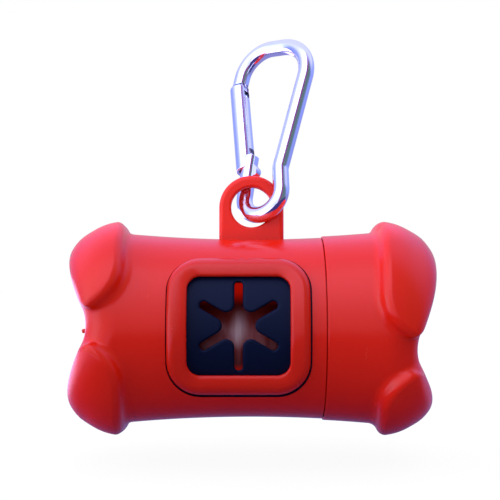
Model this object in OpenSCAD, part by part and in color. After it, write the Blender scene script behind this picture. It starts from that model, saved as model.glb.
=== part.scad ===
// Bone-shaped dispenser for a roll of waste bags, hung from a snap hook.
// Drawn about the roll's axis: X along the bone, Z up to the hanging tab, -Y out of the window.
// Every piece is then moved so that the origin is the inside of the hook's crook.

/* [Bone] */
// Radius of the barrel at its waist
waist_r = 20.6; // [20.3:0.1:21.4]
// How much the barrel widens between its waist and the knuckles
flare = 1.15; // [0.6:0.05:1.6]
// Half length over the knuckles, before their ends are rounded
half_len = 45.2; // [44.6:0.1:46.5]
// Half length at the hollow between two knuckles
hollow_len = 36.9; // [36.6:0.1:38]
// Slope of the end faces from the hollow out to the knuckles
hollow_slope = 0.44; // [0.38:0.01:0.5]
// Radius of the knuckles' tops about the roll's axis
knuckle_top = 24.85; // [24.4:0.05:26]
// Rounding of the knuckles from their tops to their ends
knuckle_round = 17.5; // [16:0.5:18]
// Distance of the knuckles' shoulder from the middle of the bone
shoulder_x = 28.6; // [28:0.1:29.4]
// Height above the axis where a knuckle starts
knuckle_foot = 3.6; // [3:0.1:4.2]
// Slope of the shoulders: length along the bone for each unit of height
shoulder_draft = 0.9; // [0.7:0.05:1.1]
// Rounding of the knuckles' rims
knuckle_rim = 1.2; // [0.8:0.1:2]
// Fillet in the crease between a knuckle and the barrel
crease = 1; // [0.8:0.1:1.6]

/* [Roll and cavity] */
// Diameter of a new roll of bags
roll_d = 29; // [27:0.5:29.5]
// Length of the roll
roll_len = 58; // [54:1:60]
// Outer diameter of the roll's cardboard core
core_d = 14; // [12:0.5:16]
// Wall of the core
core_wall = 0.9; // [0.7:0.1:1.2]
// Diameter of the cavity that the roll drops into
cavity_d = 36.4; // [36:0.1:36.8]
// Wall at the hollow of each end
end_wall = 2.8; // [2.5:0.1:3.2]

/* [Screw cap] */
// Distance of the seam between body and cap from the middle of the bone
seam_x = 16.2; // [15.8:0.1:17]
// How far the cap stands out of the barrel's line
cap_proud = 0.3; // [0:0.05:0.5]
// Length of the neck that the cap goes over
neck_len = 7.8; // [6.5:0.1:8.5]
// Turn of the closed cap against the body, in degrees
cap_turn = 16.5; // [0:0.5:30]
// Room between the neck and the cap for the threads
thread_room = 0.65; // [0.5:0.05:0.8]

/* [Window] */
// Distance of the window from the middle of the bone
window_x = -2.8; // [-4:0.1:-2.5]
// Width of the bezel, along the bone
bezel_w = 31; // [29:0.5:32]
// Height of the bezel
bezel_h = 30; // [28:0.5:30.5]
// Width of the bezel's rim
bezel_rim = 4.3; // [3.9:0.1:4.8]
// Height of the bezel's crown above the rubber
bezel_crown = 2; // [1.4:0.1:2.4]
// Thickness of the rubber diaphragm
rubber_t = 0.9; // [0.7:0.1:1.1]
// Depth of the window's seat under the barrel's waist line
seat_depth = 1; // [0.8:0.05:1.1]
// Length of the star's arms from its middle
star_arm = 9.6; // [8.6:0.1:10]
// Width of the star's arms
star_slot = 1.8; // [1.5:0.1:2.2]
// Radius of the blades' tips
blade_tip_r = 1.8; // [1.4:0.1:2]

/* [Tab] */
// Lean of the hanging bone out of the upright, about the hole, in degrees
bone_lean = 5.4; // [4.5:0.1:6]
// Width of the hanging tab
tab_w = 15.2; // [14.6:0.1:16]
// Thickness of the hanging tab
tab_t = 2.4; // [2.2:0.1:2.7]
// Diameter of the tab's hole
tab_hole_d = 9.5; // [9.3:0.1:10]
// Height of the hole's middle above the roll's axis
tab_hole_z = 28.3; // [28:0.1:28.8]

/* [Snap hook] */
// Diameter of the hook's bar
bar_d = 3.9; // [3.7:0.1:4.1]
// Diameter of the gate
gate_d = 4.7; // [4.5:0.1:5]
// Bore of the gate, where the spring sits
gate_bore_d = 3.3; // [3.1:0.1:3.4]
// Thickness of the flat tongues at both ends of the bar
tongue_t = 1.9; // [1.6:0.1:2]
// Length of the gate above its pivot
gate_len = 23.2; // [22.5:0.1:23.6]
// Lean of the gate away from the bar, in degrees
gate_lean = 21.2; // [20.5:0.1:22]
// Diameter of the pivot pin and the latch pin
pin_d = 1.2; // [1:0.1:1.3]
// Turn of the hook's plane out of the tab's plane, in degrees
hook_turn = 38.7; // [37.5:0.1:40]
// Lean of the hook's plane backwards, in degrees
hook_lean = 21.3; // [20.5:0.1:22]

/* [Hidden] */
$fn = 64;
eps = 0.01;

// Clearances
fit = 0.05; // a turning fit, on the radius
loose = 0.3; // between pieces that only lie near each other
seam_gap = 0.15; // along the seam of the closed cap
slot_gap = 0.1; // at each side of a tongue in its slot

// Bone
hollow_round = 4.2;
shoulder_round = 8;
shoulder_lean = 0.085; // the shoulders draw in towards the front and the back
barrel_end = 11; // rounding of the barrel's ends in the hollow
valley = 2.3; // rounding between a knuckle and the hollow
flare_x = 27;
ray_x = 22; // rays over each end start here, on the axis
tube_rings = 4;

// Roll and cavity
cavity_r = cavity_d / 2;
cavity_end = hollow_len - end_wall;
roll_z = -(cavity_r - roll_d / 2 - loose); // the roll lies on the cavity's floor
roll_x = -1;
end_chamfer = 3.5;
pocket_r = 9;
pocket_x = cavity_end - 5.1;
pocket_z = pocket_r + 3;

// Screw cap
neck_end = seam_x + neck_len;
cap_bore_r = waist_r - 0.45;
land_r = cap_bore_r - fit;
land_len = 1.4;
neck_r = cap_bore_r - thread_room;
step_gap = 0.4;
nub_y = -11;

// Window
seat_r = waist_r - seat_depth;
rubber_r = seat_r + rubber_t;
bezel_base_r = rubber_r + 0.03;
bezel_corner = 7.2;
flange = 0.35; // how far the rubber shows round the bezel
flange_room = 0.15;
aperture_w = bezel_w - 2 * bezel_rim;
aperture_h = bezel_h - 2 * bezel_rim;
aperture_corner = 2.9;
bezel_side = 0.7;
bezel_brow = 0.36;
bezel_fall = 0.5;
peg_r = 0.8;
peg_x = bezel_w / 2 - bezel_rim / 2;
peg_z = bezel_h / 2 - bezel_rim * 0.62;
peg_end = 14.2; // how far in front of the axis the pegs end
corner_steps = 7;

// Snap hook, drawn in its own plane: x across, y up, z towards the viewer
bar_r = bar_d / 2;
gate_r = gate_d / 2;
hook_at = [1.3, 0.85, 31.15]; // point of the hook's plane in the tab's hole
crook_y = 40.5;
eye_r = 5.2;
eye_y = -4.95;
// Corners of the bar's middle line and the radius of each bend
bar_path = [[-14.05, 29.6], [-14.3, crook_y], [6.2, crook_y], [5.1, 6.9], [8.9, eye_y], [-3.05, eye_y], [-4.72, 10.1]];
bar_bends = [0, 7.4, 9, 4, eye_r, eye_r, 0];
pivot = [-5.4, 8.5];
axis_x = -0.5; // the gate's axis, seen from its pivot
gate_foot = 2; // length of the gate under its pivot
seam_at = gate_len + 0.25; // where the nose starts over the gate
gate_open = 28; // how far the gate opens, in degrees
tongue_r = 1.45;
nose_depth = 3.6;
latch_y = gate_len - 2;
cam = [0.9, 1]; // centre of the spine's round tip, from the pivot
bore_top = 15;
slot_top = 3.6;
plunger_r = gate_bore_d / 2 - fit;
plunger_y = cam.y + tongue_r + 0.03;
plunger_len = 1.8;
stem_r = 0.85;
stem_len = 2.4;
wire_r = 0.22;
coil_r = gate_bore_d / 2 - wire_r - 0.15;
coil_turns = 9;
coil_steps = 8;
coil_sides = 6;
clip = hook_point([-4, crook_y - bar_r]);

// A point of the hook's plane in the bone's own frame
function hook_point(p) = hook_at + [
    p.x * cos(hook_turn) + p.y * sin(hook_lean) * sin(hook_turn),
    -p.x * sin(hook_turn) + p.y * sin(hook_lean) * cos(hook_turn),
    p.y * cos(hook_lean)];

// The same point from the part's origin
module from_clip() { translate(-clip) children(); }

// The bone leans about the tab's hole
module in_bone() {
    from_clip() translate([0, 0, tab_hole_z]) rotate([-bone_lean, 0, 0]) translate([0, 0, -tab_hole_z]) children();
}

module in_hook() {
    from_clip() translate(hook_at) rotate([0, 0, -hook_turn]) rotate([90 - hook_lean, 0, 0]) children();
}

// x across the gate, y along it from the pivot, z towards the viewer
module in_gate() {
    in_hook() gate_frame() children();
}

module gate_frame() {
    translate([pivot.x, pivot.y, 0]) rotate([0, 0, gate_lean]) children();
}

// The bone's outer form is a level function that is zero on the surface
function smooth_min(a, b, k) = let (h = max(k - abs(a - b), 0) / k) min(a, b) - h * h * k / 4;
function smooth_max(a, b, k) = -smooth_min(-a, -b, k);
// Two faces that meet in a round edge of radius r
function round_edge(a, b, r) = let (p = a + r, q = b + r)
    norm([max(p, 0), max(q, 0)]) + min(max(p, q), 0) - r;

function barrel_r(x) = waist_r + flare * pow(x / flare_x, 2);

// A barrel with round ends and a hollow across each, and knuckles that stand out of it like a turned collar
function level(x, y, z, proud) =
    let (e = abs(x), h = abs(z), rho = norm([y, z]))
    let (skin = rho - barrel_r(x) - proud)
    let (face = hollow_len + hollow_slope * (norm([z, hollow_round]) - hollow_round))
    let (hollow = (e - face) / norm([1, hollow_slope]))
    let (slope = shoulder_draft * max(0, skin), size = norm([1, shoulder_draft]))
    let (shoulder = (shoulder_x - shoulder_lean * abs(y) + slope - e) / size)
    let (border = round_edge(shoulder, (knuckle_foot + slope - h) / size, shoulder_round))
    let (crown = round_edge(e - half_len, rho - knuckle_top - proud, knuckle_round))
    let (knuckle = smooth_max(round_edge(border, crown, knuckle_rim), hollow, valley))
    smooth_min(round_edge(skin, hollow, barrel_end), knuckle, crease);

// Distance from the ray's start to the surface, by halving
function reach(d, proud, lo = 12, hi = 40, left = 16) =
    left == 0 ? (lo + hi) / 2 :
    let (m = (lo + hi) / 2)
    level(-ray_x + m * d.x, m * d.y, m * d.z, proud) < 0
        ? reach(d, proud, m, hi, left - 1)
        : reach(d, proud, lo, m, left - 1);

// Angles of the rays: close together over the shoulders and the feet of the knuckles
function spread(a, b, n) = [for (k = [0:n - 1]) a + (b - a) * k / n];
rises = concat(spread(0, 36, 5), spread(36, 62, 5), spread(62, 79, 9), spread(79, 90, 3), [90]);
quarter = concat(spread(0, 54, 5), spread(54, 66, 2), spread(66, 84, 8), [84]);
half_turn = concat(quarter, [90], [for (k = [len(quarter) - 1:-1:1]) 180 - quarter[k]]);
// Ways round the roll's axis as [y, z], from the top round the front
ways = [for (side = [0, 180]) for (a = half_turn) [-sin(a + side), cos(a + side)]];

// Where the ray at a rise from the axis leaves the bone
function end_point(rise, way, proud) =
    let (d = [-cos(rise), sin(rise) * way.x, sin(rise) * way.y])
    [-ray_x, 0, 0] + d * reach(d, proud);

// Solid end of the bone, from its knuckles at -X to a flat face at x_end
module bone_end(x_end, proud) {
    around = len(ways);
    rings = concat(
        [for (i = [1:len(rises) - 1]) [for (w = ways) end_point(rises[i], w, proud)]],
        [for (i = [1:tube_rings]) let (x = (x_end + ray_x) * i / tube_rings - ray_x, r = barrel_r(x) + proud)
            [for (w = ways) [x, r * w.x, r * w.y]]]);
    pole = end_point(0, [0, 1], proud);
    count = len(rings);
    points = concat([pole], [for (ring = rings) for (p = ring) p]);
    fan = [for (j = [0:around - 1]) [0, 1 + j, 1 + (j + 1) % around]];
    sides = [for (i = [0:count - 2]) for (j = [0:around - 1])
        let (a = 1 + i * around + j, b = 1 + i * around + (j + 1) % around)
        each [[a, a + around, b + around], [a, b + around, b]]];
    face = [[for (j = [around - 1:-1:0]) 1 + (count - 1) * around + j]];
    polyhedron(points, concat(fan, sides, face), convexity = 6);
}

module along_x(x0, x1, r) {
    translate([x0, 0, 0]) rotate([0, 90, 0]) cylinder(r = r, h = x1 - x0);
}

// Cavity towards the closed end at -X, from a start at x1, with room inside the pair of knuckles
module cavity(x1) {
    along_x(end_chamfer - cavity_end, x1, cavity_r);
    translate([-cavity_end, 0, 0]) rotate([0, 90, 0])
        cylinder(r1 = cavity_r - end_chamfer, r2 = cavity_r, h = end_chamfer);
    intersection() {
        along_x(-half_len, 2 - pocket_x, cavity_r - eps);
        for (side = [-1, 1])
            translate([-pocket_x, 0, side * pocket_z]) rotate([90, 0, 0])
                cylinder(r = pocket_r, h = 2 * cavity_r, center = true);
    }
}

module rounded_rect(w, h, r) {
    union() {
        square([w - 2 * r, h], center = true);
        square([w, h - 2 * r], center = true);
        for (x = [-1, 1]) for (y = [-1, 1])
            translate([x * (w / 2 - r), y * (h / 2 - r)]) circle(r = r);
    }
}

// A prism towards the viewer over the window, with its outline drawn in X and Z
module window_prism(w, h, r) {
    translate([window_x, -5, 0]) rotate([90, 0, 0]) linear_extrude(height = 25) rounded_rect(w, h, r);
}

// The bezel's outline, grown by a margin
module flange_prism(grow) {
    window_prism(bezel_w + 2 * grow, bezel_h + 2 * grow, bezel_corner + grow);
}

module peg_row(r, y0, y1) {
    for (x = [-1, 1]) for (z = [-1, 1])
        translate([window_x + x * peg_x, y0, z * peg_z]) rotate([90, 0, 0]) cylinder(r = r, h = y0 - y1);
}

module tab() {
    edge = tab_t / 3;
    straight = tab_hole_z - seat_r;
    difference() {
        union() {
            translate([0, 0, seat_r]) linear_extrude(height = straight) rounded_rect(tab_w, tab_t, edge);
            translate([0, 0, tab_hole_z]) rotate([90, 0, 0]) rotate_extrude(angle = 180)
                intersection() {
                    rounded_rect(tab_w, tab_t, edge);
                    translate([0, -tab_t]) square([tab_w, 2 * tab_t]);
                }
        }
        translate([0, 0, tab_hole_z]) rotate([90, 0, 0]) {
            cylinder(r = tab_hole_d / 2, h = 2 * tab_t, center = true);
            for (side = [0, 1]) mirror([0, 0, side]) translate([0, 0, tab_t / 2 - 0.5])
                cylinder(r1 = tab_hole_d / 2, r2 = tab_hole_d / 2 + 0.6, h = 0.6);
        }
    }
}

module main_shell() {
    color("crimson") in_bone() difference() {
        union() {
            bone_end(seam_x, 0);
            tab();
            along_x(seam_x - 2, neck_end, neck_r);
            along_x(seam_x - 2, seam_x + land_len, land_r);
            translate([-hollow_len, nub_y, 0]) along_x(-1, 1.5, 0.5); // left by the mould's gate
        }
        cavity(neck_end + 1);
        difference() {
            flange_prism(flange + flange_room);
            along_x(-half_len, half_len, seat_r);
        }
        window_prism(aperture_w + 0.8, aperture_h + 0.8, aperture_corner);
        peg_row(peg_r + fit, -5, -25);
    }
}

module end_cap() {
    color("crimson") in_bone() rotate([cap_turn, 0, 0]) rotate([0, 0, 180]) difference() {
        bone_end(-seam_x - seam_gap, cap_proud);
        along_x(-neck_end - step_gap, -seam_x + 1, cap_bore_r);
        cavity(-seam_x);
    }
}

// Point of a rounded rectangle's corner q, a share t of the way round it
function corner_point(w, h, r, q, t) =
    let (a = 90 * (q + t), sx = (q == 0 || q == 3) ? 1 : -1, sy = (q < 2) ? 1 : -1)
    [sx * (w / 2 - r) + r * cos(a), sy * (h / 2 - r) + r * sin(a)];

// The upright sides get more points, because they bend round the barrel
function side_steps(q) = q % 2 == 1 ? 10 : 1;

function outline(w, h, r) = [for (q = [0:3]) each concat(
    [for (k = [0:corner_steps]) corner_point(w, h, r, q, k / corner_steps)],
    [for (k = [1:1:side_steps(q) - 1]) let (t = k / side_steps(q))
        corner_point(w, h, r, q, 1) * (1 - t) + corner_point(w, h, r, (q + 1) % 4, 0) * t])];

// Height of the bezel over the rubber, a share t of the rim in from its outer edge: a round shoulder, then a
// face that falls away inwards to an eased edge
function bezel_height(t) = t < bezel_brow
    ? bezel_side + (bezel_crown - bezel_side) * sqrt(1 - pow(1 - t / bezel_brow, 2))
    : bezel_crown - bezel_fall * pow((t - bezel_brow) / (1 - bezel_brow), 1.5) - 0.4 * pow(t, 20);
bezel_section = concat(
    [[0, 0], [0, bezel_side]], [for (t = [0.04, 0.12, 0.24, 0.4, 0.6, 0.8, 0.92, 1]) [t, bezel_height(t)]],
    [[1, 0], [0.75, 0], [0.5, 0], [0.25, 0]]);

module window_bezel() {
    outer = outline(bezel_w, bezel_h, bezel_corner);
    inner = outline(aperture_w, aperture_h, bezel_corner - bezel_rim);
    n = len(outer);
    m = len(bezel_section);
    points = [for (i = [0:n - 1]) for (s = bezel_section)
        let (p = outer[i] * (1 - s[0]) + inner[i] * s[0], r = bezel_base_r + s[1])
        [window_x + p.x, -sqrt(r * r - p.y * p.y), p.y]];
    faces = [for (i = [0:n - 1]) for (j = [0:m - 1])
        let (a = i * m + j, b = i * m + (j + 1) % m, c = (i + 1) % n * m + (j + 1) % m, d = (i + 1) % n * m + j)
        each [[a, b, c], [a, c, d]]];
    color("tomato") in_bone() union() {
        polyhedron(points, faces, convexity = 6);
        peg_row(peg_r, -peg_end, -sqrt(pow(rubber_r + 1, 2) - peg_z * peg_z));
    }
}

// Six arms with rounded blade tips between them
module star() {
    tip_at = (star_slot / 2 + blade_tip_r) / sin(30);
    union() {
        for (i = [0:5]) rotate(30 + 60 * i) {
            translate([0, -star_slot / 2]) square([star_arm - star_slot / 2, star_slot]);
            translate([star_arm - star_slot / 2, 0]) circle(r = star_slot / 2);
        }
        difference() {
            circle(r = norm([tip_at * cos(30), star_slot / 2]) - 0.02);
            for (i = [0:5]) rotate(60 * i) translate([tip_at, 0]) circle(r = blade_tip_r);
        }
    }
}

module star_diaphragm() {
    color("midnightblue") in_bone() difference() {
        intersection() {
            difference() {
                along_x(-half_len, half_len, rubber_r);
                along_x(-half_len - 1, half_len + 1, seat_r + 0.02);
            }
            flange_prism(flange);
        }
        translate([window_x, -5, 0]) rotate([90, 0, 0]) linear_extrude(height = 25) star();
        peg_row(peg_r + 2 * fit, -5, -25);
    }
}

module on_roll() { in_bone() translate([roll_x, 0, roll_z]) rotate([0, 90, 0]) children(); }

module roll_core() {
    color("tan") on_roll() difference() {
        cylinder(d = core_d, h = roll_len + 1, center = true);
        cylinder(d = core_d - 2 * core_wall, h = roll_len + 3, center = true);
    }
}

module bag_roll() {
    chamfer = 0.8;
    outer = roll_d / 2;
    inner = core_d / 2 + fit;
    color("gainsboro") on_roll() rotate_extrude() polygon([
        [inner, -roll_len / 2 + chamfer], [outer - chamfer, -roll_len / 2], [outer, -roll_len / 2 + chamfer],
        [outer, roll_len / 2 - chamfer], [outer - chamfer, roll_len / 2], [inner, roll_len / 2 - chamfer]]);
}

// Free end of the first bag: lies over the roll and lifts towards the star, with a fold down its middle
module leading_bag() {
    film = 0.25;
    half_w = 12;
    from = 40;
    sweep = 75;
    lift = 1.7;
    nu = 10;
    nv = 6;
    function sheet(i, j, out) =
        let (t = i / nu, s = 2 * j / nv - 1, a = from + sweep * t)
        let (fold = 0.7 * pow(t, 2) * pow(1 - abs(s), 2))
        let (r = roll_d / 2 + 0.05 + lift * pow(t, 2) + fold + out * film)
        [s * half_w * (1 - 0.35 * t * t), -r * sin(a), roll_z + r * cos(a)];
    points = [for (out = [0, 1]) for (i = [0:nu]) for (j = [0:nv]) sheet(i, j, out)];
    side = (nu + 1) * (nv + 1);
    function at(out, i, j) = out * side + i * (nv + 1) + j;
    flat = [for (i = [0:nu - 1]) for (j = [0:nv - 1]) each [
        [at(0, i, j), at(0, i + 1, j + 1), at(0, i, j + 1)], [at(0, i, j), at(0, i + 1, j), at(0, i + 1, j + 1)],
        [at(1, i, j), at(1, i, j + 1), at(1, i + 1, j + 1)], [at(1, i, j), at(1, i + 1, j + 1), at(1, i + 1, j)]]];
    ends = [for (j = [0:nv - 1]) each [
        [at(0, 0, j), at(0, 0, j + 1), at(1, 0, j + 1)], [at(0, 0, j), at(1, 0, j + 1), at(1, 0, j)],
        [at(0, nu, j), at(1, nu, j + 1), at(0, nu, j + 1)], [at(0, nu, j), at(1, nu, j), at(1, nu, j + 1)]]];
    edges = [for (i = [0:nu - 1]) each [
        [at(0, i, 0), at(1, i + 1, 0), at(0, i + 1, 0)], [at(0, i, 0), at(1, i, 0), at(1, i + 1, 0)],
        [at(0, i, nv), at(0, i + 1, nv), at(1, i + 1, nv)], [at(0, i, nv), at(1, i + 1, nv), at(1, i, nv)]]];
    color("whitesmoke") in_bone() translate([window_x, 0, 0]) polyhedron(points, concat(flat, ends, edges));
}

function unit(v) = v / norm(v);
function cross2(a, b) = a.x * b.y - a.y * b.x;
function heading(i) = unit(bar_path[i + 1] - bar_path[i]);
function turn_of(i) = (i == 0 || i == len(bar_path) - 1) ? 0 : acos(heading(i - 1) * heading(i));
function setback(i) = bar_bends[i] * tan(turn_of(i) / 2);

function turned(v, a) = [v.x * cos(a) - v.y * sin(a), v.x * sin(a) + v.y * cos(a)];

// Rings of a bend, each with its centre and heading
function bend(i) =
    let (d = heading(i - 1), side = sign(cross2(d, heading(i))), steps = ceil(turn_of(i) / 10))
    let (start = bar_path[i] - d * setback(i), centre = start + side * bar_bends[i] * [-d.y, d.x])
    [for (k = [0:steps]) let (a = side * turn_of(i) * k / steps) [centre + turned(start - centre, a), turned(d, a)]];

function bar_rings() = [for (i = [0:len(bar_path) - 1])
    each bar_bends[i] > 0 ? bend(i) : [[bar_path[i], heading(min(i, len(bar_path) - 2))]]];

// Closed tube through rings that each have a centre and two unit axes
module tube(rings, r, sides) {
    n = len(rings);
    points = [for (g = rings) for (s = [0:sides - 1])
        g[0] + r * (cos(360 * s / sides) * g[1] + sin(360 * s / sides) * g[2])];
    skin = [for (k = [0:n - 2]) for (s = [0:sides - 1])
        let (a = k * sides + s, b = k * sides + (s + 1) % sides)
        each [[a, b + sides, b], [a, a + sides, b + sides]]];
    first = [[for (s = [0:sides - 1]) s]];
    last = [[for (s = [sides - 1:-1:0]) (n - 1) * sides + s]];
    polyhedron(points, concat(skin, first, last), convexity = 8);
}

module bar() {
    tube([for (g = bar_rings()) [[g[0].x, g[0].y, 0], [-g[1].y, g[1].x, 0], [0, 0, 1]]], bar_r, 24);
}

// Room that the gate sweeps, in the gate's own frame
module gate_sweep() {
    for (a = [0, gate_open / 2, gate_open]) rotate([0, 0, -a]) translate([axis_x, -gate_foot - loose, 0])
        rotate([-90, 0, 0]) cylinder(r = gate_r + loose, h = gate_len / 2);
}

module slab(x0, x1, y0, y1) {
    translate([x0, y0, -tongue_t / 2]) cube([x1 - x0, y1 - y0, tongue_t]);
}

module tongue_disc(p) {
    translate([p.x, p.y, -tongue_t / 2]) cylinder(r = tongue_r, h = tongue_t);
}

// A flat link between two discs of the tongue
module tongue_link(p, q) {
    d = q - p;
    translate([p.x, p.y, -tongue_t / 2]) rotate([0, 0, atan2(d.y, d.x)])
        translate([0, -tongue_r, 0]) cube([norm(d), 2 * tongue_r, tongue_t]);
}

module carabiner_hook() {
    low = [1.75, -3.2]; // where the lower tongue leaves the bar, from the pivot
    nose_w = 3.4;
    color("silver") in_hook() difference() {
        union() {
            difference() {
                bar();
                gate_frame() gate_sweep();
                gate_frame() translate([axis_x - 6, gate_len - 8, -6]) cube([12, 8 + seam_at - gate_len, 12]);
            }
            gate_frame() {
                tongue_disc([0, 0]);
                tongue_disc(cam);
                tongue_link([0, 0], cam);
                tongue_link([0, 0], low);
                slab(axis_x - nose_w / 2, axis_x + nose_w / 2, gate_len - nose_depth, seam_at + 1);
            }
        }
        gate_frame() cylinder(d = pin_d + 2 * fit, h = 3 * tongue_t, center = true);
        gate_frame() translate([axis_x, latch_y, 0]) {
            cylinder(d = pin_d + 0.24, h = 3 * tongue_t, center = true);
            translate([0, -pin_d / 2 - 0.12, -gate_d]) cube([gate_d, pin_d + 0.24, 2 * gate_d]);
        }
    }
}

module carabiner_gate() {
    slot = tongue_t + 2 * slot_gap;
    chamfer = 0.5;
    length = gate_len + gate_foot;
    color("silver") in_gate() difference() {
        translate([axis_x, -gate_foot, 0]) rotate([-90, 0, 0]) rotate_extrude() polygon([
            [0, 0], [gate_r - chamfer / 2, 0], [gate_r, chamfer / 2], [gate_r, length - chamfer],
            [gate_r - chamfer, length], [0, length]]);
        translate([axis_x, -gate_foot - 1, 0]) rotate([-90, 0, 0])
            cylinder(d = gate_bore_d, h = bore_top + gate_foot + 1);
        translate([axis_x, -gate_foot - 1, -slot / 2]) cube([gate_d, slot_top + gate_foot + 1, slot]);
        translate([axis_x - gate_d, gate_len - nose_depth - loose, -slot / 2]) cube([2 * gate_d, gate_d, slot]);
        cylinder(d = pin_d, h = 2 * gate_d, center = true);
        translate([axis_x, latch_y, 0]) cylinder(d = pin_d, h = 2 * gate_d, center = true);
    }
}

module gate_pin() {
    color("gray") in_gate() cylinder(d = pin_d, h = gate_d - 0.5, center = true);
}

module latch_pin() {
    color("gray") in_gate() translate([axis_x, latch_y, 0])
        cylinder(d = pin_d, h = gate_d - 0.5, center = true);
}

module spring_plunger() {
    color("gray") in_gate() translate([axis_x, plunger_y, 0]) rotate([-90, 0, 0]) {
        cylinder(r = plunger_r, h = plunger_len);
        cylinder(r = stem_r, h = plunger_len + stem_len);
    }
}

spring_y0 = plunger_y + plunger_len + wire_r + 0.02;
spring_len = bore_top - wire_r - 0.02 - spring_y0;

function coil_point(k) =
    let (t = k / coil_steps, a = 360 * t)
    [coil_r * cos(a), spring_y0 + spring_len * t / coil_turns, coil_r * sin(a)];

// Least gap between neighbouring curls, from points on the wire
coil_gap = min([for (k = [0:coil_steps * (coil_turns - 1)])
    norm(coil_point(k + coil_steps) - coil_point(k)) - 2 * wire_r]);
echo(least_spring_gap = coil_gap);

module gate_spring() {
    rings = [for (k = [0:coil_steps * coil_turns]) let (a = 360 * k / coil_steps)
        [coil_point(k), [cos(a), 0, sin(a)], [0, 1, 0]]];
    color("dimgray") in_gate() translate([axis_x, 0, 0]) tube(rings, wire_r, coil_sides);
}

main_shell();
end_cap();
window_bezel();
star_diaphragm();
roll_core();
bag_roll();
leading_bag();
carabiner_hook();
carabiner_gate();
gate_pin();
latch_pin();
gate_spring();
spring_plunger();
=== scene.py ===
import math
import bpy
import numpy as np
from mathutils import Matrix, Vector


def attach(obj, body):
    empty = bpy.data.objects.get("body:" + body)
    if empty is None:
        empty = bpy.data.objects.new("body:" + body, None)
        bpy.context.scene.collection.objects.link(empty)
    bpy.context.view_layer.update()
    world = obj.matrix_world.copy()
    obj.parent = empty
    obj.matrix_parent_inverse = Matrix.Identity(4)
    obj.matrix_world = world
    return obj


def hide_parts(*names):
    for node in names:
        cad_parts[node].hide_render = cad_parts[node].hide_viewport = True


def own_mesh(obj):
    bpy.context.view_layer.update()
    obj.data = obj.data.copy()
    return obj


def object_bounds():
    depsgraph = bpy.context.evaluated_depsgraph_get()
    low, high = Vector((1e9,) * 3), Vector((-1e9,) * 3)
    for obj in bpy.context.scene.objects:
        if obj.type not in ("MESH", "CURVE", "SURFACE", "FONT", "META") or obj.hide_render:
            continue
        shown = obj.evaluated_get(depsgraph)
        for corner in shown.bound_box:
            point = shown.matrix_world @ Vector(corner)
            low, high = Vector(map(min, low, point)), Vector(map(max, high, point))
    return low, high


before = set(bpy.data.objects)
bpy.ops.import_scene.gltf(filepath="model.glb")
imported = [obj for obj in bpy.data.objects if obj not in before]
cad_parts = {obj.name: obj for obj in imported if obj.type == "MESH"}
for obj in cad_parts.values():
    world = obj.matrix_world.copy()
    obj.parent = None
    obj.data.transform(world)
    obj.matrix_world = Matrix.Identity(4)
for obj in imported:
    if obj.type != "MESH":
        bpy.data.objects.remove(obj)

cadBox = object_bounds()

# Everything is worked out in millimetres about the roll's axis, as the maker draws it,
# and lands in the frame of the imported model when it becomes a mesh.
metres = 0.001
hookPlane = dict(at=(1.3, 0.85, 31.15), turn=38.7, lean=21.3)
boneLean = dict(degrees=5.4, hole=28.3)


def hookAxes():
    # unit vectors of the hook's plane: across, up, and out of it towards the viewer
    t, l = math.radians(hookPlane["turn"]), math.radians(hookPlane["lean"])
    u = np.array([math.cos(t), -math.sin(t), 0.0])
    v = np.array([math.sin(l) * math.sin(t), math.sin(l) * math.cos(t), math.cos(l)])
    return u, v, np.cross(u, v)


def onHook(points):
    # plane coordinates (across, up, towards the viewer) to millimetres about the roll's axis
    u, v, n = hookAxes()
    p = np.asarray(points, float)
    return np.array(hookPlane["at"]) + p[..., 0:1] * u + p[..., 1:2] * v + p[..., 2:3] * n


origin = onHook([-4.0, 38.55, 0.0])


def onBone(points):
    # the bone leans back about the tab's hole
    a = math.radians(boneLean["degrees"])
    y, z = points[..., 1], points[..., 2] - boneLean["hole"]
    return np.stack([points[..., 0], y * math.cos(a) + z * math.sin(a),
                     boneLean["hole"] - y * math.sin(a) + z * math.cos(a)], -1)


def circle(angles):
    # points of the unit circle at the angles, as [across, up]
    return np.stack([np.cos(angles), np.sin(angles)], -1)


def fullTurn(steps):
    # angles of a closed ring
    return np.linspace(0, 2 * math.pi, steps, endpoint=False)


def smoothed(mesh, sharp):
    # smooth faces, with a crease wherever two of them meet at more than the angle
    mesh.polygons.foreach_set("use_smooth", np.ones(len(mesh.polygons), bool))
    mesh.set_sharp_from_angle(angle=math.radians(sharp))


def addMesh(name, points, faces, body=None, slot=None, sharp=40):
    # points in millimetres about the roll's axis; a cutter has no body. The slot is not used.
    mesh = bpy.data.meshes.new(name)
    mesh.from_pydata(((np.asarray(points) - origin) * metres).tolist(), [], faces)
    mesh.update()
    smoothed(mesh, sharp)
    piece = bpy.data.objects.new(name, mesh)
    bpy.context.scene.collection.objects.link(piece)
    if body:
        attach(piece, body)
    return piece


def gridFaces(rows, cols, first=0, wrapRows=False, wrapCols=True):
    # quads between neighbouring rows and columns of a grid of points
    r = np.arange(rows if wrapRows else rows - 1)[:, None]
    c = np.arange(cols if wrapCols else cols - 1)[None, :]
    a, b = r * cols + c, r * cols + (c + 1) % cols
    d, e = (r + 1) % rows * cols + c, (r + 1) % rows * cols + (c + 1) % cols
    return (np.stack([a, b, e, d], -1).reshape(-1, 4) + first).tolist()


def cappedSkin(rings, start, end):
    # closed surface: rings of equal count, with a fan of triangles to a point at each end
    rows, cols = rings.shape[:2]
    points = np.concatenate([rings.reshape(-1, 3), [start], [end]])
    here = np.arange(cols)
    beside, last, pole = (here + 1) % cols, (rows - 1) * cols, rows * cols
    startFan = np.stack([np.full(cols, pole), beside, here], -1)
    endFan = np.stack([np.full(cols, pole + 1), last + here, last + beside], -1)
    return points, gridFaces(rows, cols) + startFan.tolist() + endFan.tolist()


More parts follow.
